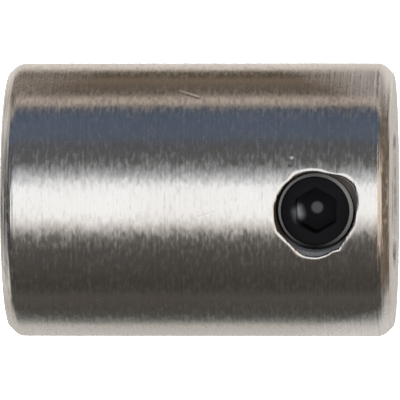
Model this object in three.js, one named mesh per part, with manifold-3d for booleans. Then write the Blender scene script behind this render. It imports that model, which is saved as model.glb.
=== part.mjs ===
// Rigid shaft coupling: a turned steel sleeve with one bore along its whole length,
// and a hexagon-socket set screw near each end that grips the shaft in the bore.
// Millimetres. +X runs along the bore, +Z is up, and the origin is the middle of the bore.
// The screw near the +X end enters from above, the one near the -X end from below.

import * as THREE from 'three';
import { mergeVertices } from 'three/addons/utils/BufferGeometryUtils.js';
import Module from 'manifold-3d';

// Sleeve
const OUTER_DIAMETER = 14;
const LENGTH = 19.8;
const BORE_DIAMETER = 6;
const END_BEVEL = 0.55;             // 45 degree bevel round each outer end edge
const MOUTH_BEVEL = 0.5;            // bevel round each bore mouth: width seen on the end face
const MOUTH_BEVEL_DEPTH = 0.25;
const SCREW_FROM_END = 3.8;         // end face to the middle of its screw hole

// M4 set screws with a cup point
const SCREW_DIAMETER = 4;
const SCREW_LENGTH = 3;
const TIP_INTO_BORE = 0.6;          // how far the point stands out of the bore's wall
const SCREW_CLEARANCE = 0.08;       // radial gap between a screw and its hole
const HOLE_BEVEL = 0.12;            // 45 degree bevel where a screw hole meets the outside
const HEAD_BEVEL = 0.3;             // 45 degree bevel at the driven end
const POINT_BEVEL = 0.6;            // 45 degree bevel at the point
const CUP_DIAMETER = 2;
const CUP_DEPTH = 0.35;
const SOCKET_WIDTH = 2;             // across the flats
const SOCKET_DEPTH = 1.5;           // to the end of the flats
const SOCKET_CONE_DEPTH = 0.3;      // drill point under the flats

// Smoothness of the round faces
const SLEEVE_SIDES = 96;
const SCREW_SIDES = 48;
const OVERCUT = 1;                  // how far a cutting shape runs past the face it opens

const OUTER_RADIUS = OUTER_DIAMETER / 2;
const BORE_RADIUS = BORE_DIAMETER / 2;
const SCREW_RADIUS = SCREW_DIAMETER / 2;
const TIP_RADIUS = BORE_RADIUS - TIP_INTO_BORE;   // distance of each point from the bore's axis

// Each screw hole: its name, which end of the sleeve it is at, and which way it faces.
const SCREW_PLACES = [
  { name: 'right_set_screw', end: 1, facing: 1 },
  { name: 'left_set_screw', end: -1, facing: -1 }
];

const wasm = await Module();
wasm.setup();

// A closed three.js geometry as a solid that can be joined and cut.
function toSolid(geometry) {
  const bare = geometry.clone();
  bare.deleteAttribute('normal');
  bare.deleteAttribute('uv');
  const merged = mergeVertices(bare, 1e-5);
  const corners = merged.index.array;
  const kept = [];
  for (let i = 0; i < corners.length; i += 3) {
    const [a, b, c] = [corners[i], corners[i + 1], corners[i + 2]];
    const isFlat = a === b || b === c || c === a;
    if (!isFlat) kept.push(a, b, c);
  }
  return new wasm.Manifold(new wasm.Mesh({
    numProp: 3,
    vertProperties: merged.attributes.position.array,
    triVerts: new Uint32Array(kept)
  }));
}

function toGeometry(solid) {
  const cut = solid.getMesh();
  const geometry = new THREE.BufferGeometry();
  geometry.setAttribute('position', new THREE.BufferAttribute(cut.vertProperties, 3));
  geometry.setIndex(new THREE.BufferAttribute(cut.triVerts, 1));
  geometry.computeVertexNormals();
  return geometry;
}

// A turned shape about +Y from [radius, height] pairs, listed from the bottom up.
function turned(profile, sides) {
  const points = profile.map(([radius, height]) => new THREE.Vector2(radius, height));
  return new THREE.LatheGeometry(points, sides);
}

// The turn that takes +Y to +Z for a hole facing up, or to -Z for one facing down.
function turnForFacing(facing) {
  return facing * Math.PI / 2;
}

function holeX(end) {
  return end * (LENGTH / 2 - SCREW_FROM_END);
}

function sleeveBlank() {
  const half = LENGTH / 2;
  const mouthRadius = BORE_RADIUS + MOUTH_BEVEL;
  const profile = [
    [BORE_RADIUS, -half + MOUTH_BEVEL_DEPTH],
    [mouthRadius, -half],
    [OUTER_RADIUS - END_BEVEL, -half],
    [OUTER_RADIUS, -half + END_BEVEL],
    [OUTER_RADIUS, half - END_BEVEL],
    [OUTER_RADIUS - END_BEVEL, half],
    [mouthRadius, half],
    [BORE_RADIUS, half - MOUTH_BEVEL_DEPTH],
    [BORE_RADIUS, -half + MOUTH_BEVEL_DEPTH]
  ];
  return turned(profile, SLEEVE_SIDES).rotateZ(-Math.PI / 2);
}

// The space of one screw hole, from the bore's axis out past the sleeve's outside.
function screwHoleSpace({ end, facing }) {
  const holeRadius = SCREW_RADIUS + SCREW_CLEARANCE;
  const bevelStart = OUTER_RADIUS - HOLE_BEVEL;
  const outside = OUTER_RADIUS + OVERCUT;
  const profile = [
    [0, 0],
    [holeRadius, 0],
    [holeRadius, bevelStart],
    [holeRadius + HOLE_BEVEL + OVERCUT, outside],
    [0, outside]
  ];
  return turned(profile, SCREW_SIDES).rotateX(turnForFacing(facing)).translate(holeX(end), 0, 0);
}

function sleeveGeometry() {
  let solid = toSolid(sleeveBlank());
  for (const place of SCREW_PLACES) {
    solid = solid.subtract(toSolid(screwHoleSpace(place)));
  }
  return toGeometry(solid);
}

// Set screw standing on its point at the origin, driven end up +Y.
function screwGeometry() {
  const blank = turned([
    [0, CUP_DEPTH],
    [CUP_DIAMETER / 2, 0],
    [SCREW_RADIUS - POINT_BEVEL, 0],
    [SCREW_RADIUS, POINT_BEVEL],
    [SCREW_RADIUS, SCREW_LENGTH - HEAD_BEVEL],
    [SCREW_RADIUS - HEAD_BEVEL, SCREW_LENGTH],
    [0, SCREW_LENGTH]
  ], SCREW_SIDES);
  const socketFloor = SCREW_LENGTH - SOCKET_DEPTH;
  const socketRadius = SOCKET_WIDTH / Math.sqrt(3);
  const flats = new THREE.CylinderGeometry(socketRadius, socketRadius, SOCKET_DEPTH + OVERCUT, 6);
  flats.translate(0, socketFloor + (SOCKET_DEPTH + OVERCUT) / 2, 0);
  const drillPoint = turned([
    [0, socketFloor - SOCKET_CONE_DEPTH],
    [SOCKET_WIDTH / 2, socketFloor],
    [SOCKET_WIDTH / 2, socketFloor + SOCKET_DEPTH / 2],
    [0, socketFloor + SOCKET_DEPTH / 2]
  ], SCREW_SIDES);
  const socket = toSolid(flats).add(toSolid(drillPoint));
  return toGeometry(toSolid(blank).subtract(socket));
}

function makeSleeve() {
  const nickelPlate = new THREE.MeshStandardMaterial({ color: 0xb9b5ae, roughness: 0.3, metalness: 1 });
  const sleeve = new THREE.Mesh(sleeveGeometry(), nickelPlate);
  sleeve.name = 'sleeve';
  return sleeve;
}

function makeSetScrew({ name, end, facing }) {
  const blackOxide = new THREE.MeshStandardMaterial({ color: 0x17171a, roughness: 0.45, metalness: 0.6 });
  const screw = new THREE.Mesh(screwGeometry(), blackOxide);
  screw.name = name;
  screw.rotation.x = turnForFacing(facing);
  screw.position.set(holeX(end), 0, facing * TIP_RADIUS);
  return screw;
}

const coupling = new THREE.Group();
coupling.add(makeSleeve());
for (const place of SCREW_PLACES) {
  coupling.add(makeSetScrew(place));
}

export default coupling;
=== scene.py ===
"""Looks of a rigid shaft coupling: a turned and plated steel sleeve with two black set screws.

+X runs along the bore, +Z is up, and every length is in metres. The coupling lies on a pale floor
under one broad soft panel, and the camera looks down on it from a long way off.
"""

import math

import bmesh
import bpy
from mathutils import Matrix, Vector


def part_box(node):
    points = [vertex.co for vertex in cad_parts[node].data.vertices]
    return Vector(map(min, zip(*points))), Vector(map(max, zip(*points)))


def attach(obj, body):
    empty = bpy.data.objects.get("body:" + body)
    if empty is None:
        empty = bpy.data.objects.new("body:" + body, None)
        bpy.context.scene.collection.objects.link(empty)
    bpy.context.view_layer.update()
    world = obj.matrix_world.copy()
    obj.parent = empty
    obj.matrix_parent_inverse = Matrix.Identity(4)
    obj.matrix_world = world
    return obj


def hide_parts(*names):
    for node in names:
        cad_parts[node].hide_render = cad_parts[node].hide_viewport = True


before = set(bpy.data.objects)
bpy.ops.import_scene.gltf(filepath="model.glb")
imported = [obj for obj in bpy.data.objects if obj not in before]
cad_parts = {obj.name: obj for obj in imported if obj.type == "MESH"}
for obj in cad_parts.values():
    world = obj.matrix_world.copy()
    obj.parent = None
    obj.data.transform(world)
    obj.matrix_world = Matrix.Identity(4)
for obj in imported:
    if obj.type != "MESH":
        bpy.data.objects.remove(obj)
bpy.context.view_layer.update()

MM = 0.001
TAU = 2 * math.pi

# Sleeve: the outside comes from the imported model, the rest is turned and drilled into it.
SLEEVE_LOW, SLEEVE_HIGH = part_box("sleeve")
HALF_LENGTH = SLEEVE_HIGH.x
OUTER_RADIUS = SLEEVE_HIGH.z
BORE_RADIUS = 3.0 * MM
END_BEVEL = 0.55 * MM
MOUTH_BEVEL = 0.5 * MM
MOUTH_SLOPE = 0.25 * MM             # depth of the bevel round each bore mouth
SHOULDER_ROUND = 0.70 * MM          # polished-over edge between the outside and its end bevel
SHOULDER_START = 0.40 * MM          # how far before that edge its rounding may begin
CORNER_ROUND = 0.30 * MM            # the same between the end bevel and the end face
EDGE_ROUND = 0.06 * MM              # how far the bore mouth's edges are broken

# Set screws and the thread they share with the sleeve
SCREW_LOW, SCREW_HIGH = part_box("right_set_screw")
SCREW_X = (SCREW_LOW.x + SCREW_HIGH.x) / 2
SCREW_RADIUS = (SCREW_HIGH.x - SCREW_LOW.x) / 2
SCREW_LENGTH = SCREW_HIGH.z - SCREW_LOW.z
SCREW_TIP = SCREW_LOW.z             # height of the point above the bore's axis
PITCH = 0.7 * MM
THREAD_DEPTH = 0.38 * MM
THREAD_FLAT = 0.12                  # share of each flank's rise that is flat at crest and root
THREAD_GAP = 0.02 * MM              # between the mean thread surface and either part
HEAD_BEVEL = 0.3 * MM
COLLAR = 0.2 * MM                   # depth below the driven end at which the thread begins
POINT_BEVEL = 0.6 * MM
CUP_RADIUS = 1.0 * MM
CUP_DEPTH = 0.35 * MM
CUP_FLAT = 0.15 * MM                # radius of the flat at the cup's bottom
SOCKET_WIDTH = 2.0 * MM
SOCKET_DEPTH = 1.5 * MM
SOCKET_CONE = 0.3 * MM
SOCKET_FLAT = 0.28 * MM             # radius of the drill's blunt end at the socket's bottom
SOCKET_BEVEL = 0.07 * MM
SOCKET_CORNER = 0.975               # share of the full corner radius left by its rounding

# Mouth of each screw hole: nearly round, swollen where the drill and tap tore the metal, and
# straight along one short stretch. Angles are in degrees from the sleeve's right end.
RIM_RADIUS = 2.02 * MM
RIM_SWELLS = [                      # (angle, half width, height)
    (10, 30, 0.05 * MM), (38, 22, 0.41 * MM), (105, 38, 0.09 * MM), (268, 30, 0.18 * MM),
    (304, 5, 0.09 * MM), (325, 20, -0.06 * MM)]
RIM_RAGGED = [(7, 0.010 * MM), (13, 0.009 * MM), (21, 0.005 * MM)]   # (waves round the rim, height)
RIM_FLAT_AT = 222.5
RIM_FLAT_DISTANCE = 1.94 * MM
RIM_FLAT_REACH = 30
RIM_WIDTH = 0.20 * MM               # the rounded rim, across and down
RIM_DROP = 0.12 * MM
RIM_UNEVEN = [(5, 0.22), (11, 0.16), (17, 0.08)]    # (waves round the rim, share of its width)
RIM_SINK = 0.55 * MM                # depth at which the torn mouth has become round
CLEAR_RADIUS = 2.04 * MM            # plain bore above the thread
THREAD_TOP = 4.3 * MM               # height at which the hole's thread begins
THREAD_FADE = 0.2 * MM
EXIT_RADIUS = 2.04 * MM             # where the hole breaks into the bore, past its thread
EXIT_FADE = 0.15 * MM

# How finely the round shapes are divided
OUTSIDE_STEPS = 192
BORE_STEPS = 96
WINDOW_STEPS = 24                   # segments along each side of the square round a screw hole
HOLE_STEPS = 4 * WINDOW_STEPS
SCREW_STEPS = 96
ROWS_PER_PITCH = 16
OUTSIDE_STATIONS = 28               # rings between the two windows
BORE_STATIONS = 30
OUTSIDE_COLLAR_ROWS = 6             # rings between a window's edge and the hole
BORE_COLLAR_ROWS = 4
BORE_REACH = 2.4 * MM               # half the window in the bore, along X
ROUND_STEPS = 5
SUPPORT = 0.05 * MM                 # a ring this far from each rounded edge keeps the shading flat

# Finish of the sleeve: how deep each pattern is; where both flanks are rubbed dull, as |y| + LEAN |x|;
# between which distances to the side the bore mouths' painted shade fades in; and scratches on top
FEED_HEIGHT = 0.0010 * MM
STREAK_HEIGHT = 0.040 * MM
SCUFF_HEIGHT = 0.016 * MM
FLANK_DEPTH = 0.35                  # share of those two that is left on the flanks
WAVE_HEIGHT = 0.012 * MM
RUBBED_LEAN = 0.35
RUBBED_FROM = 8.2 * MM
RUBBED_TO = 9.5 * MM
RUBBED_LEFT = 0.35                  # share of the rubbing near the left end
MOUTH_SHADE_FROM = 2.25 * MM
MOUTH_SHADE_TO = 2.95 * MM
RUBBED_ROUGHNESS = 0.42
DRILLED_ROUGHNESS = 0.5
SCRATCHES = [                       # (start x and y, end x and y, reach, depth)
    ((-0.88 * MM, 5.93 * MM), (0.11 * MM, 5.66 * MM), 0.08 * MM, 0.009 * MM),
    ((0.24 * MM, -0.14 * MM), (1.22 * MM, 0.19 * MM), 0.07 * MM, 0.003 * MM),
    ((4.95 * MM, 2.72 * MM), (4.90 * MM, 2.50 * MM), 0.16 * MM, 0.026 * MM)]

# Finish of the screws: the worn ring's radii and how strongly it is worn all round, more on both
# sides along the sleeve, and how much painted light makes it lighter towards one side (along, across);
# the painted highlight on one side of the socket, as start and end offsets from the screw's axis
WORN_RING = (1.74 * MM, 1.92 * MM)
WORN_ALL_ROUND = 0.17
WORN_ON_SIDES = 0.61
RING_LIGHT_TOWARDS = (0.05, 0.16)
SOCKET_HIGHLIGHT = ((-0.97 * MM, -0.05 * MM), (-0.88 * MM, -0.35 * MM))
SOCKET_HIGHLIGHT_REACH = 0.42 * MM

# Camera and studio
CAMERA_DISTANCE = 0.5
CAMERA_YAW = 3.4                    # degrees towards the right end
CAMERA_TILT = 6.0                   # degrees from straight down towards +Y
VIEW_WIDTH = 20.53 * MM             # width of the picture at the bore's axis
VIEW_OFFSET = (-0.0925 * MM, -0.011 * MM)
SENSOR_WIDTH = 36.0
FLOOR_HALF = 3.0
PANEL_SIZE = 1.6
PANEL_HEIGHT = 1.2
PANEL_POWER = 90


# ---------------------------------------------------------------- mesh helpers

class Builder:
    """Collects quads and polygons from separate patches, then welds them into one mesh."""

    def __init__(self):
        self.points = []
        self.faces = []

    def ring_grid(self, rings, closed=True):
        """Joins neighbouring rings of equal length with quads."""
        start = len(self.points)
        count = len(rings[0])
        for ring in rings:
            self.points.extend(ring)
        last = count if closed else count - 1
        for row in range(len(rings) - 1):
            for step in range(last):
                a = start + row * count + step
                b = start + row * count + (step + 1) % count
                self.faces.append((a, b, b + count, a + count))

    def polygon(self, corners):
        start = len(self.points)
        self.points.extend(corners)
        self.faces.append(tuple(range(start, start + len(corners))))

    def make(self, name, material, sharp_degrees=32):
        mesh = bpy.data.meshes.new(name)
        mesh.from_pydata([tuple(p) for p in self.points], [], self.faces)
        shape = bmesh.new()
        shape.from_mesh(mesh)
        bmesh.ops.remove_doubles(shape, verts=shape.verts, dist=1e-7)
        bmesh.ops.dissolve_degenerate(shape, edges=shape.edges, dist=1e-8)
        bmesh.ops.recalc_face_normals(shape, faces=shape.faces)
        for face in shape.faces:
            face.smooth = True
        shape.to_mesh(mesh)
        shape.free()
        mesh.set_sharp_from_angle(angle=math.radians(sharp_degrees))
        mesh.materials.append(material)
        piece = bpy.data.objects.new(name, mesh)
        bpy.context.scene.collection.objects.link(piece)
        return piece


def between(low, high, count):
    """count + 1 evenly spaced values from low to high."""
    return [low + (high - low) * step / count for step in range(count + 1)]


def mixed(a, b, share):
    return a + (b - a) * share


def smooth(share):
    share = min(max(share, 0.0), 1.0)
    return share * share * (3 - 2 * share)


def rounded(outline, radii):
    """An open outline of (x, r) corners with each inner corner turned into an arc of the radius
    given for it, and a support point on each side of the arc."""
    points = [outline[0]]
    for before, corner, after, radius in zip(outline, outline[1:], outline[2:], radii):
        corner = Vector(corner)
        to_before = (Vector(before) - corner).normalized()
        to_after = (Vector(after) - corner).normalized()
        half = to_before.angle(to_after) / 2
        reach = radius / math.tan(half)
        centre = corner + (to_before + to_after).normalized() * (radius / math.sin(half))
        first = corner + to_before * reach - centre
        last = corner + to_after * reach - centre
        points.append(tuple(centre + first + to_before * SUPPORT))
        for share in between(0.0, 1.0, ROUND_STEPS):
            points.append(tuple(centre + first.lerp(last, share).normalized() * radius))
        points.append(tuple(centre + last + to_after * SUPPORT))
    points.append(outline[-1])
    return points


def ring(x, radius, steps):
    """A circle about the bore's axis, starting straight up and turning towards +Y."""
    return [
        Vector((x, radius * math.sin(TAU * step / steps), radius * math.cos(TAU * step / steps)))
        for step in range(steps)
    ]


# ---------------------------------------------------------------- sleeve

def thread_radius(angle, height):
    """Mean surface of the right-hand thread at an angle about the screw and a height along it."""
    phase = (height / PITCH - angle / TAU) % 1.0
    rise = (abs(2 * phase - 1) - THREAD_FLAT) / (1 - 2 * THREAD_FLAT)
    return SCREW_RADIUS - THREAD_DEPTH * (1 - min(max(rise, 0.0), 1.0))


def rim_radius(angle):
    radius = RIM_RADIUS
    for at, width, swell in RIM_SWELLS:
        off = math.degrees(math.remainder(angle - math.radians(at), TAU))
        radius += swell * math.exp(-(off / width) ** 2)
    for waves, height in RIM_RAGGED:
        radius += height * math.sin(waves * angle + waves)
    off_flat = math.remainder(angle - math.radians(RIM_FLAT_AT), TAU)
    if abs(off_flat) < math.radians(RIM_FLAT_REACH):
        radius = min(radius, RIM_FLAT_DISTANCE / math.cos(off_flat))
    return radius


def rim_width(angle):
    return RIM_WIDTH * (1 + sum(share * math.sin(waves * angle + waves) for waves, share in RIM_UNEVEN))


def hole_angle(step):
    """Angle of a hole's step, counted from the corner of its square window."""
    return TAU * (step / HOLE_STEPS - 1 / 8)


def window_edge(reach_x, reach_angle, radius):
    """The square round a screw hole as (u, v) points on a cylinder of that radius."""
    across = [radius * math.sin(a) for a in between(-reach_angle, reach_angle, WINDOW_STEPS)]
    along = between(reach_x, -reach_x, WINDOW_STEPS)
    points = [(reach_x, v) for v in across[:-1]]
    points += [(u, across[-1]) for u in along[:-1]]
    points += [(-reach_x, v) for v in reversed(across[1:])]
    points += [(u, across[0]) for u in reversed(along[1:])]
    return points


def on_cylinder(u, v, radius):
    return Vector((u, v, math.sqrt(radius * radius - v * v)))


def collar(edge, hole, radius, rows):
    """Rings on a cylinder from a square window's edge in to a hole's outline."""
    rings = []
    for share in between(0.0, 1.0, rows):
        rings.append([
            on_cylinder(mixed(e[0], h[0], share), mixed(e[1], h[1], share), radius)
            for e, h in zip(edge, hole)
        ])
    return rings


def hole_outline(radius_at):
    """(u, v) of each step of a hole whose radius is a function of the angle."""
    angles = [hole_angle(step) for step in range(HOLE_STEPS)]
    return [(radius_at(a) * math.cos(a), radius_at(a) * math.sin(a)) for a in angles]


def hole_wall():
    """Rings of one tapped hole, from its rounded rim down to the bore, in its own frame."""
    rings = []
    for share in between(0.0, 1.0, ROUND_STEPS):
        turn = share * math.pi / 2
        drop = RIM_DROP * (1 - math.cos(turn))
        row = []
        for u, v in hole_outline(lambda a: rim_radius(a) + rim_width(a) * (1 - math.sin(turn))):
            row.append(on_cylinder(u, v, OUTER_RADIUS) - Vector((0, 0, drop)))
        rings.append(row)
    top_row = rings[-1]
    rows = round((OUTER_RADIUS - BORE_RADIUS) / PITCH * ROWS_PER_PITCH)
    for share in between(0.0, 1.0, rows)[1:]:
        row = []
        for step in range(HOLE_STEPS):
            angle = hole_angle(step)
            top = top_row[step].z
            exit_v = EXIT_RADIUS * math.sin(angle)
            bottom = math.sqrt(BORE_RADIUS ** 2 - exit_v ** 2)
            height = mixed(top, bottom, share)
            radius = thread_radius(angle, height) + THREAD_GAP
            radius = mixed(CLEAR_RADIUS, radius, smooth((THREAD_TOP - height) / THREAD_FADE))
            radius = mixed(rim_radius(angle), radius, min((top - height) / RIM_SINK, 1.0))
            radius = mixed(EXIT_RADIUS, radius, smooth((height - bottom) / EXIT_FADE))
            row.append(Vector((radius * math.cos(angle), radius * math.sin(angle), height)))
        rings.append(row)
    return rings


def placed(rings, end):
    """Moves a hole's rings from its own frame to the right end (1) or, underneath, the left (-1)."""
    turn = Matrix.Rotation(0 if end > 0 else math.pi, 3, "X")
    shift = Vector((end * SCREW_X, 0, 0))
    return [[turn @ point + shift for point in row] for row in rings]


def tube_with_windows(builder, radius, steps, reach_x, stations_between, ends):
    """A cylinder along X between the two ends, with a square window left open at each screw."""
    right = between(SCREW_X - reach_x, SCREW_X + reach_x, WINDOW_STEPS)
    left = [-x for x in reversed(right)]
    middle = between(left[-1], right[0], stations_between)
    stations = [ends[0]] + left + middle[1:-1] + right + [ends[1]]
    half = WINDOW_STEPS // 2
    for low, high in zip(stations, stations[1:]):
        in_right = right[0] <= (low + high) / 2 <= right[-1]
        in_left = left[0] <= (low + high) / 2 <= left[-1]
        first, last = 0, steps
        if in_right:
            first, last = half, steps - half
        if in_left:
            first, last = -steps // 2 + half, steps // 2 - half
        rows = [ring(low, radius, steps), ring(high, radius, steps)]
        open_rows = [[row[step % steps] for step in range(first, last + 1)] for row in rows]
        builder.ring_grid(open_rows, closed=False)


def make_sleeve(material):
    builder = Builder()
    outside_angle = TAU / OUTSIDE_STEPS * WINDOW_STEPS / 2
    outside_reach = OUTER_RADIUS * math.sin(outside_angle)
    bore_angle = TAU / BORE_STEPS * WINDOW_STEPS / 2
    mid_face = (OUTER_RADIUS + BORE_RADIUS) / 2

    outer_outline = rounded([
        (HALF_LENGTH - END_BEVEL - SHOULDER_START, OUTER_RADIUS),
        (HALF_LENGTH - END_BEVEL, OUTER_RADIUS),
        (HALF_LENGTH, OUTER_RADIUS - END_BEVEL),
        (HALF_LENGTH, mid_face)
    ], (SHOULDER_ROUND, CORNER_ROUND))
    inner_outline = rounded([
        (HALF_LENGTH, mid_face - 2 * SUPPORT),
        (HALF_LENGTH, BORE_RADIUS + MOUTH_BEVEL),
        (HALF_LENGTH - MOUTH_SLOPE, BORE_RADIUS),
        (HALF_LENGTH - MOUTH_SLOPE - 4 * SUPPORT, BORE_RADIUS)
    ], (EDGE_ROUND, EDGE_ROUND))
    for end in (1, -1):
        builder.ring_grid([ring(end * x, r, OUTSIDE_STEPS) for x, r in outer_outline])
        builder.ring_grid([ring(end * x, r, BORE_STEPS) for x, r in inner_outline])
        outer = ring(end * HALF_LENGTH, mid_face, OUTSIDE_STEPS)
        inner = ring(end * HALF_LENGTH, mid_face - 2 * SUPPORT, BORE_STEPS)
        for step in range(BORE_STEPS):
            after = (step + 1) % BORE_STEPS
            builder.polygon([
                inner[step], inner[after],
                outer[2 * after], outer[2 * step + 1], outer[2 * step]
            ])

    start = outer_outline[0][0]
    tube_with_windows(
        builder, OUTER_RADIUS, OUTSIDE_STEPS, outside_reach, OUTSIDE_STATIONS, (-start, start))
    start = inner_outline[-1][0]
    tube_with_windows(
        builder, BORE_RADIUS, BORE_STEPS, BORE_REACH, BORE_STATIONS, (-start, start))

    outside_edge = window_edge(outside_reach, outside_angle, OUTER_RADIUS)
    bore_edge = window_edge(BORE_REACH, bore_angle, BORE_RADIUS)
    rim_start = hole_outline(lambda a: rim_radius(a) + rim_width(a) + SUPPORT)
    rim = hole_outline(lambda a: rim_radius(a) + rim_width(a))
    leave = hole_outline(lambda a: EXIT_RADIUS)
    for end in (1, -1):
        outside_rings = collar(outside_edge, rim_start, OUTER_RADIUS, OUTSIDE_COLLAR_ROWS)
        bore_rings = collar(bore_edge, leave, BORE_RADIUS, BORE_COLLAR_ROWS)
        builder.ring_grid(placed(outside_rings, end))
        builder.ring_grid(placed(collar(rim_start, rim, OUTER_RADIUS, 1), end))
        builder.ring_grid(placed(hole_wall(), end))
        builder.ring_grid(placed(bore_rings, end))
    return builder.make("coupling_sleeve", material)


# ---------------------------------------------------------------- set screws

def screw_angle(step):
    return TAU * step / SCREW_STEPS


def screw_ring(radius_at, height):
    return [
        Vector((radius_at(screw_angle(s)) * math.cos(screw_angle(s)),
                radius_at(screw_angle(s)) * math.sin(screw_angle(s)), height))
        for s in range(SCREW_STEPS)
    ]


def hexagon_radius(angle, width):
    """Radius of a hexagon with one flat facing the screw's +X side and slightly rounded corners."""
    off_flat = math.remainder(angle, TAU / 6)
    sharp = width / 2 / math.cos(off_flat)
    return min(sharp, SOCKET_CORNER * width / math.sqrt(3))


def screw_radius(angle, up):
    """The threaded outside at a height above the point, running out in a collar at the driven end."""
    down = SCREW_LENGTH - up
    threaded = thread_radius(angle, SCREW_TIP + up)
    thread = mixed(SCREW_RADIUS, threaded, smooth((down - COLLAR) / THREAD_FADE))
    return min(thread - THREAD_GAP, SCREW_RADIUS - POINT_BEVEL + up, SCREW_RADIUS - HEAD_BEVEL + down)


def screw_body_rings():
    """The outside, from the point's flat ring up to the driven end."""
    rows = round(SCREW_LENGTH / PITCH * ROWS_PER_PITCH)
    return [
        screw_ring(lambda a: screw_radius(a, up), SCREW_TIP + up)
        for up in between(0.0, SCREW_LENGTH, rows)
    ]


def socket_rings(top):
    """From the driven end's rim, over the end face and down into the hexagon socket."""
    floor = top - SOCKET_DEPTH
    face_edge = SCREW_RADIUS - HEAD_BEVEL
    return [
        screw_ring(lambda a: face_edge, top),
        screw_ring(lambda a: face_edge - SUPPORT, top),
        screw_ring(lambda a: mixed(face_edge, hexagon_radius(a, SOCKET_WIDTH), 0.6), top),
        screw_ring(lambda a: hexagon_radius(a, SOCKET_WIDTH + 2 * SOCKET_BEVEL), top),
        screw_ring(lambda a: hexagon_radius(a, SOCKET_WIDTH + SOCKET_BEVEL), top - SOCKET_BEVEL / 3),
        screw_ring(lambda a: hexagon_radius(a, SOCKET_WIDTH), top - SOCKET_BEVEL),
        screw_ring(lambda a: hexagon_radius(a, SOCKET_WIDTH), floor),
        screw_ring(lambda a: 0.9 * SOCKET_WIDTH / 2, floor - 0.02 * MM),
        screw_ring(lambda a: SOCKET_FLAT + SUPPORT, floor - SOCKET_CONE),
        screw_ring(lambda a: SOCKET_FLAT, floor - SOCKET_CONE)
    ]


def make_screw(name, end, material):
    builder = Builder()
    top = SCREW_TIP + SCREW_LENGTH
    ring_edge = SCREW_RADIUS - POINT_BEVEL
    cup = [
        screw_ring(lambda a: CUP_FLAT, SCREW_TIP + CUP_DEPTH),
        screw_ring(lambda a: CUP_RADIUS, SCREW_TIP),
        screw_ring(lambda a: ring_edge, SCREW_TIP)
    ]
    socket = socket_rings(top)
    builder.ring_grid(placed(cup, end))
    builder.ring_grid(placed(screw_body_rings(), end))
    builder.ring_grid(placed(socket, end))
    builder.polygon(placed([cup[0]], end)[0])
    builder.polygon(placed([socket[-1]], end)[0])
    return builder.make(name, material)


# ---------------------------------------------------------------- shader helpers

class Shader:
    """Short names for building a node tree."""

    def __init__(self, tree):
        self.tree = tree
        tree.nodes.clear()

    def node(self, kind, values=None, **settings):
        made = self.tree.nodes.new("ShaderNode" + kind)
        for name, value in settings.items():
            setattr(made, name, value)
        for socket, value in (values or {}).items():
            if isinstance(value, bpy.types.NodeSocket):
                self.tree.links.new(value, made.inputs[socket])
            else:
                made.inputs[socket].default_value = value
        return made

    def math(self, operation, *values):
        made = self.node("Math", dict(enumerate(values)), operation=operation)
        return made.outputs[0]

    def spread(self, value, low, high, to_low, to_high):
        """Maps a value from one range to another and holds it there."""
        made = self.node("MapRange", {
            "Value": value, "From Min": low, "From Max": high, "To Min": to_low, "To Max": to_high})
        return made.outputs[0]

    def colours(self, value, stops):
        made = self.node("ValToRGB", {"Fac": value})
        ramp = made.color_ramp
        while len(ramp.elements) < len(stops):
            ramp.elements.new(0.5)
        for element, (place, colour) in zip(ramp.elements, stops):
            element.position = place
            element.color = (*colour, 1)
        return made.outputs["Color"]

    def mix(self, share, first, second):
        made = self.node("Mix", data_type="RGBA")
        sockets = (made.inputs[0], made.inputs[6], made.inputs[7])
        for socket, value in zip(sockets, (share, first, second)):
            if isinstance(value, bpy.types.NodeSocket):
                self.tree.links.new(value, socket)
            else:
                socket.default_value = value
        return made.outputs[2]

    def length(self, a, b):
        squares = [self.math("MULTIPLY", value, value) for value in (a, b)]
        return self.math("SQRT", self.math("ADD", *squares))

    def tinted(self, colour, shade):
        """A colour made lighter or darker by a factor."""
        made = self.node("VectorMath", {0: colour, "Scale": shade}, operation="SCALE")
        return made.outputs[0]

    def stretched(self, vector, along, around):
        """A vector for noise whose grain is one length along X and another across it."""
        made = self.node("Mapping", {"Vector": vector, "Scale": (1 / along, 1 / around, 1 / around)})
        return made.outputs[0]

    def rings(self, distance, spacing):
        """Noise that changes with one distance only, as a turning tool leaves it."""
        made = self.node("TexNoise", {
            "W": self.math("MULTIPLY", distance, 1 / spacing), "Scale": 1.0, "Detail": 2.0,
            "Roughness": 0.6}, noise_dimensions="1D")
        return made.outputs["Fac"]

    def near_line(self, vector, start, end, reach):
        """1 on the line between two (x, y) points, falling to 0 at a distance from it."""
        start = Vector((*start, 0))
        along = Vector((*end, 0)) - start
        flat = self.node("VectorMath", {0: vector, 1: (1, 1, 0)}, operation="MULTIPLY").outputs[0]
        offset = self.node("VectorMath", {0: flat, 1: start}, operation="SUBTRACT").outputs[0]
        unit_share = along / along.length_squared
        share = self.node("VectorMath", {0: offset, 1: unit_share}, operation="DOT_PRODUCT")
        share = self.spread(share.outputs["Value"], 0, 1, 0, 1)
        nearest = self.node("VectorMath", {0: along, "Scale": share}, operation="SCALE").outputs[0]
        gap = self.node("VectorMath", {0: offset, 1: nearest}, operation="DISTANCE").outputs["Value"]
        return self.spread(gap, 0, reach, 1, 0)

    def bump(self, layers):
        """A normal from several heights, each a pattern and its depth in metres."""
        total = 0.0
        for pattern, depth in layers:
            total = self.math("ADD", total, self.math("MULTIPLY", pattern, depth))
        return self.node("Bump", {"Height": total, "Strength": 1.0, "Distance": 1.0}).outputs[0]

    def noise(self, vector, scale, detail=2.0, roughness=0.5):
        made = self.node("TexNoise", {
            "Vector": vector, "Scale": scale, "Detail": detail, "Roughness": roughness})
        return made.outputs["Fac"]


def new_material(name):
    material = bpy.data.materials.new(name)
    material.use_nodes = True
    return material, Shader(material.node_tree)


# ---------------------------------------------------------------- materials

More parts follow.
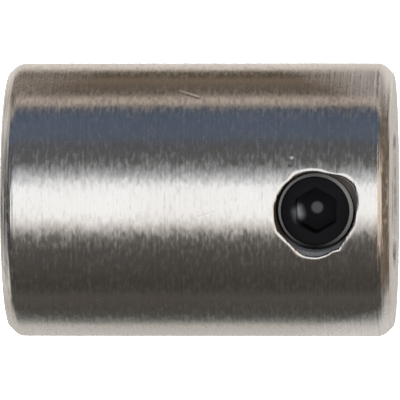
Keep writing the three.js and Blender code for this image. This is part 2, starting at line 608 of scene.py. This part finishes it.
def plated_steel():
    """Bright plating over turned steel: fine rings from the tool, streaky in the light, rubbed dull on
    the flanks near both ends, dull inside the holes with painted shade on their walls and painted light
    on one side of each, and painted shade at the sides of the bore mouths."""
    material, s = new_material("plated_turned_steel")
    place = s.node("TexCoord").outputs["Object"]
    axes = s.node("SeparateXYZ", {0: place}).outputs
    radius = s.length(axes[1], axes[2])
    along = s.math("ADD", axes[0], s.math("MULTIPLY", radius, 0.37))

    feed = s.rings(along, 0.13 * MM)
    streaks = s.noise(s.stretched(place, 0.13 * MM, 3.0 * MM), 1.0, 0.0)
    scuffs = s.noise(s.stretched(place, 0.20 * MM, 0.65 * MM), 1.0, 1.0, 0.4)
    mottle = s.noise(s.stretched(place, 0.16 * MM, 0.45 * MM), 1.0, 1.0)
    waves = s.noise(place, 1 / (2.2 * MM), 1.0)
    flank = s.math("ABSOLUTE", axes[1])
    streaks = s.math("MULTIPLY", streaks, STREAK_HEIGHT)
    scuffs = s.math("MULTIPLY", scuffs, SCUFF_HEIGHT)
    grain = s.math("ADD", streaks, scuffs)
    strength = s.spread(flank, 3.0 * MM, 6.0 * MM, 1.0, FLANK_DEPTH)
    layers = [(feed, FEED_HEIGHT), (grain, strength), (waves, WAVE_HEIGHT)]
    above = s.spread(axes[2], 0, 0.1 * MM, 0, 1)
    for start, end, reach, depth in SCRATCHES:
        layers.append((s.math("MULTIPLY", above, s.near_line(place, start, end, reach)), -depth))
    bump = s.bump(layers)

    tone = s.noise(place, 1 / (5 * MM), 3.0)
    plate = s.colours(s.spread(tone, 0.35, 0.65, 0, 1), [
        (0.0, (0.70, 0.68, 0.655)),
        (1.0, (0.74, 0.73, 0.71))
    ])
    plate = s.tinted(plate, s.spread(s.math("MULTIPLY", mottle, feed), 0.12, 0.40, 0.94, 1.04))
    rough_rings = s.spread(feed, 0.3, 0.7, 0.12, 0.18)
    rough_patches = s.spread(mottle, 0.38, 0.72, 0.0, 0.20)
    rough = s.math("ADD", rough_rings, rough_patches)

    from_middle = s.math("ABSOLUTE", axes[0])
    outwards = s.math("ADD", flank, s.math("MULTIPLY", from_middle, RUBBED_LEAN))
    rubbed = s.math("MULTIPLY", s.spread(outwards, RUBBED_FROM, RUBBED_TO, 0, 1),
                    s.spread(axes[0], -MM, MM, RUBBED_LEFT, 1))
    rubbed = s.math("MULTIPLY", rubbed, s.spread(feed, 0.35, 0.65, 0.45, 1.0))
    rough = s.spread(rubbed, 0, 1, rough, RUBBED_ROUGHNESS)

    below = s.spread(radius, OUTER_RADIUS - 0.22 * MM, OUTER_RADIUS - 0.12 * MM, 1, 0)
    off_ends = s.spread(from_middle, HALF_LENGTH - 2 * END_BEVEL, HALF_LENGTH - END_BEVEL, 1, 0)
    drilled = s.math("MULTIPLY", below, off_ends)
    # Painted shade: the walls inside the holes are coloured dark, with painted light on their -Y side.
    lit_side = s.spread(axes[1], -1.7 * MM, -1.2 * MM, 1, 0)
    wall_shade_and_light = s.mix(lit_side, (0.07, 0.06, 0.054, 1), (0.26, 0.265, 0.28, 1))
    # Painted shade: each bore mouth is coloured dark at its two sides.
    beside = s.spread(flank, MOUTH_SHADE_FROM, MOUTH_SHADE_TO, 0, 1)
    mouth_edge = BORE_RADIUS + MOUTH_BEVEL
    near_mouth = s.spread(radius, mouth_edge - 0.1 * MM, mouth_edge + 0.1 * MM, 1, 0)
    mouth_painted_shade = s.math("MULTIPLY", beside, near_mouth)
    mouth_painted_shade = s.math("MULTIPLY", mouth_painted_shade, s.spread(mottle, 0.3, 0.6, 0.7, 1.0))
    colour = s.mix(drilled, plate, wall_shade_and_light)
    colour = s.mix(mouth_painted_shade, colour, (0.07, 0.07, 0.07, 1))
    rough = s.spread(drilled, 0, 1, rough, DRILLED_ROUGHNESS)
    dulled = s.math("ADD", s.math("MULTIPLY", drilled, 0.4), s.math("MULTIPLY", rubbed, 0.16))
    metal = s.math("SUBTRACT", 1.0, dulled)
    tangent = s.node("Tangent", direction_type="RADIAL", axis="X").outputs[0]
    skin = s.node("BsdfPrincipled", {
        "Base Color": colour, "Metallic": metal, "Roughness": rough, "Normal": bump,
        "Tangent": tangent, "Anisotropic": 0.5, "Anisotropic Rotation": 0.25})
    s.node("OutputMaterial", {"Surface": skin.outputs[0]})
    return material


def black_oxide():
    """Blackened screw steel: matt black, rubbed to grey round the driven end's bevel with painted light
    on one side of that ring, and painted highlights at one corner of the socket's bottom and where the
    drill ended."""
    material, s = new_material("black_oxide_steel")
    place = s.node("TexCoord").outputs["Object"]
    axes = s.node("SeparateXYZ", {0: place}).outputs
    away = s.math("ABSOLUTE", axes[2])
    offset = s.math("SUBTRACT", s.math("ABSOLUTE", axes[0]), SCREW_X)
    radius = s.length(offset, axes[1])
    top = SCREW_TIP + SCREW_LENGTH
    grain = s.noise(place, 1 / (0.12 * MM), 3.0)

    on_bevel = s.spread(away, top - HEAD_BEVEL, top - 0.9 * HEAD_BEVEL, 0, 1)
    along = s.math("DIVIDE", offset, SCREW_RADIUS)
    across = s.math("DIVIDE", axes[1], SCREW_RADIUS)
    on_sides = s.math("MULTIPLY", s.math("MULTIPLY", along, along), WORN_ON_SIDES)
    # Painted light: the worn ring is made lighter towards one side and darker, as painted shade, away
    # from it.
    towards_along = s.math("MULTIPLY", along, RING_LIGHT_TOWARDS[0])
    towards_across = s.math("MULTIPLY", across, RING_LIGHT_TOWARDS[1])
    on_one_side = s.math("ADD", towards_along, towards_across)
    wear_and_light = s.math("ADD", s.math("ADD", on_sides, on_one_side), WORN_ALL_ROUND)
    widened = s.math("ADD", radius, s.math("MULTIPLY", along, 0.03 * MM))
    outside = s.spread(widened, WORN_RING[0], WORN_RING[0] + 0.03 * MM, 0, 1)
    inside = s.spread(radius, WORN_RING[1] - 0.03 * MM, WORN_RING[1], 1, 0)
    in_ring = s.math("MULTIPLY", outside, inside)
    worn_and_lit = s.math("MULTIPLY", s.math("MULTIPLY", on_bevel, wear_and_light), in_ring)

    # Painted highlights: a bright patch at one corner of the socket's bottom and a bright spot at its
    # centre.
    in_socket = s.spread(away, top - 0.9 * SOCKET_DEPTH, top - 0.8 * SOCKET_DEPTH, 1, 0)
    from_axis = s.node("CombineXYZ", {0: offset, 1: axes[1]}).outputs[0]
    deep = s.spread(away, top - SOCKET_DEPTH, top, 1.0, 0.6)
    near_highlight = s.near_line(from_axis, *SOCKET_HIGHLIGHT, SOCKET_HIGHLIGHT_REACH)
    socket_highlight = s.math("POWER", s.math("MULTIPLY", deep, near_highlight), 2.0)
    flat = s.math("MULTIPLY", in_socket, s.spread(radius, 0.8 * SOCKET_FLAT, 1.25 * SOCKET_FLAT, 1, 0))
    painted_highlights = s.math("MAXIMUM", s.math("MULTIPLY", socket_highlight, 0.42), s.math("MULTIPLY", flat, 0.085))

    colour = s.mix(worn_and_lit, (0.0016, 0.0016, 0.0019, 1), (0.18, 0.175, 0.172, 1))
    colour = s.mix(painted_highlights, colour, (0.24, 0.25, 0.26, 1))
    rings = s.rings(radius, 0.12 * MM)
    bump = s.bump([(grain, 0.004 * MM), (rings, 0.004 * MM)])
    rough = s.spread(grain, 0.3, 0.7, 0.42, 0.55)
    skin = s.node("BsdfPrincipled", {
        "Base Color": colour, "Metallic": 0.0, "Roughness": rough, "Normal": bump,
        "Specular IOR Level": 0.045})
    s.node("OutputMaterial", {"Surface": skin.outputs[0]})
    return material


def floor_white():
    material, s = new_material("pale_floor")
    place = s.node("TexCoord").outputs["Object"]
    cloud = s.noise(place, 40.0, 3.0)
    colour = s.colours(cloud, [(0.3, (0.80, 0.80, 0.80)), (0.7, (0.84, 0.84, 0.84))])
    skin = s.node("BsdfPrincipled", {"Base Color": colour, "Roughness": 0.9, "Specular IOR Level": 0.0})
    s.node("OutputMaterial", {"Surface": skin.outputs[0]})
    return material


# ---------------------------------------------------------------- studio

# What the sleeve mirrors, going round it: degrees from the camera's own direction, positive
# towards +Y, and the colour there.
STUDIO_BANDS = [
    (-180, (0.60, 0.56, 0.52)),
    (-150, (0.62, 0.58, 0.54)),
    (-133, (0.58, 0.55, 0.51)),
    (-127, (0.22, 0.23, 0.21)),
    (-118, (0.095, 0.095, 0.085)),
    (-104, (0.083, 0.076, 0.069)),
    (-96, (0.098, 0.087, 0.076)),
    (-90, (0.112, 0.098, 0.084)),
    (-85, (0.070, 0.063, 0.055)),
    (-76, (0.065, 0.06, 0.053)),
    (-55, (0.09, 0.08, 0.073)),
    (-42, (0.10, 0.092, 0.085)),
    (-30, (0.17, 0.16, 0.145)),
    (-22, (0.90, 0.84, 0.80)),
    (-14, (1.27, 1.27, 1.27)),
    (12, (1.27, 1.28, 1.30)),
    (20, (0.52, 0.54, 0.57)),
    (31, (0.13, 0.13, 0.13)),
    (48, (0.112, 0.115, 0.122)),
    (58, (0.118, 0.146, 0.20)),
    (78, (0.095, 0.125, 0.18)),
    (86, (0.10, 0.105, 0.12)),
    (90, (0.60, 0.50, 0.43)),
    (96, (0.55, 0.46, 0.39)),
    (101, (0.13, 0.11, 0.095)),
    (116, (0.17, 0.13, 0.10)),
    (122, (0.25, 0.19, 0.14)),
    (127, (0.12, 0.095, 0.07)),
    (138, (0.12, 0.095, 0.07)),
    (146, (0.75, 0.66, 0.58)),
    (165, (0.82, 0.78, 0.73)),
    (180, (0.60, 0.56, 0.52))
]
# What the ends mirror: the height of the mirrored direction and the colour there.
LEFT_BANDS = [
    (-0.60, (0.95, 0.91, 0.86)),
    (-0.40, (0.78, 0.74, 0.69)),
    (-0.22, (0.42, 0.40, 0.38)),
    (-0.12, (0.31, 0.30, 0.29)),
    (0.03, (0.17, 0.165, 0.16)),
    (0.10, (0.075, 0.055, 0.05)),
    (0.45, (0.06, 0.065, 0.085)),
    (0.70, (0.30, 0.32, 0.36))
]
RIGHT_BANDS = [
    (-0.52, (0.62, 0.59, 0.56)),
    (-0.42, (0.17, 0.13, 0.10)),
    (0.18, (0.19, 0.14, 0.105)),
    (0.42, (1.0, 0.82, 0.68))
]


def make_world():
    world = bpy.data.worlds.new("studio")
    world.use_nodes = True
    bpy.context.scene.world = world
    s = Shader(world.node_tree)
    direction = s.node("TexCoord").outputs["Generated"]
    turned = s.node("VectorRotate", {"Vector": direction, "Angle": math.radians(CAMERA_TILT)},
                    rotation_type="X_AXIS").outputs[0]
    axes = s.node("SeparateXYZ", {0: turned}).outputs
    angle = s.math("ARCTAN2", axes[1], axes[2])
    around = s.spread(angle, -math.pi, math.pi, 0, 1)
    bands = s.colours(around, [(0.5 + degrees / 360, colour) for degrees, colour in STUDIO_BANDS])

    level = s.spread(axes[2], -1, 1, 0, 1)
    left = s.colours(level, [(0.5 + height / 2, colour) for height, colour in LEFT_BANDS])
    right = s.colours(level, [(0.5 + height / 2, colour) for height, colour in RIGHT_BANDS])
    sides = s.mix(s.spread(axes[0], -0.1, 0.1, 0, 1), left, right)
    is_side = s.spread(s.math("ABSOLUTE", axes[0]), 0.62, 0.78, 0, 1)
    mirrored = s.mix(is_side, bands, sides)

    seen = s.node("LightPath").outputs["Is Camera Ray"]
    colour = s.mix(seen, mirrored, (1.0, 1.0, 1.0, 1))
    glow = s.node("Background", {"Color": colour, "Strength": 1.0})
    s.node("OutputWorld", {"Surface": glow.outputs[0]})
    world.cycles_visibility.diffuse = False


def make_floor():
    half, low = FLOOR_HALF, SLEEVE_LOW.z
    corners = [(-half, -half, low), (half, -half, low), (half, half, low), (-half, half, low)]
    mesh = bpy.data.meshes.new("floor")
    mesh.from_pydata(corners, [], [(0, 1, 2, 3)])
    mesh.materials.append(floor_white())
    floor = bpy.data.objects.new("floor", mesh)
    bpy.context.scene.collection.objects.link(floor)
    floor.visible_glossy = False


def make_lamp():
    """The soft panel overhead as the floor sees it; the sleeve mirrors the world's bands instead."""
    light = bpy.data.lights.new("overhead_panel", "AREA")
    light.shape = "SQUARE"
    light.size = PANEL_SIZE
    light.energy = PANEL_POWER
    lamp = bpy.data.objects.new("overhead_panel", light)
    lamp.location = (0, 0, PANEL_HEIGHT)
    lamp.visible_glossy = False
    bpy.context.scene.collection.objects.link(lamp)


def make_camera():
    yaw, tilt = math.radians(CAMERA_YAW), math.radians(CAMERA_TILT)
    back = Vector((math.sin(yaw), math.cos(yaw) * math.sin(tilt), math.cos(yaw) * math.cos(tilt)))
    right = Vector((1, 0, 0))
    right = (right - back * right.dot(back)).normalized()
    up = back.cross(right)
    data = bpy.data.cameras.new("camera")
    data.sensor_width = SENSOR_WIDTH
    data.lens = SENSOR_WIDTH * CAMERA_DISTANCE / VIEW_WIDTH
    data.clip_start = 0.01
    camera = bpy.data.objects.new("camera", data)
    bpy.context.scene.collection.objects.link(camera)
    place = back * CAMERA_DISTANCE + right * VIEW_OFFSET[0] + up * VIEW_OFFSET[1]
    camera.matrix_world = Matrix.Translation(place) @ Matrix((right, up, back)).transposed().to_4x4()
    bpy.context.scene.camera = camera


# ---------------------------------------------------------------- assembly

def build():
    make_camera()
    make_world()
    make_floor()
    make_lamp()
    bpy.context.scene.view_settings.view_transform = "Standard"

    sleeve = make_sleeve(plated_steel())
    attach(sleeve, "sleeve")
    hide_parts("sleeve")

    oxide = black_oxide()
    for side, end in (("right", 1), ("left", -1)):
        screw = make_screw(side + "_screw_threaded", end, oxide)
        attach(screw, side + "_screw")
        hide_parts(side + "_set_screw")


build()
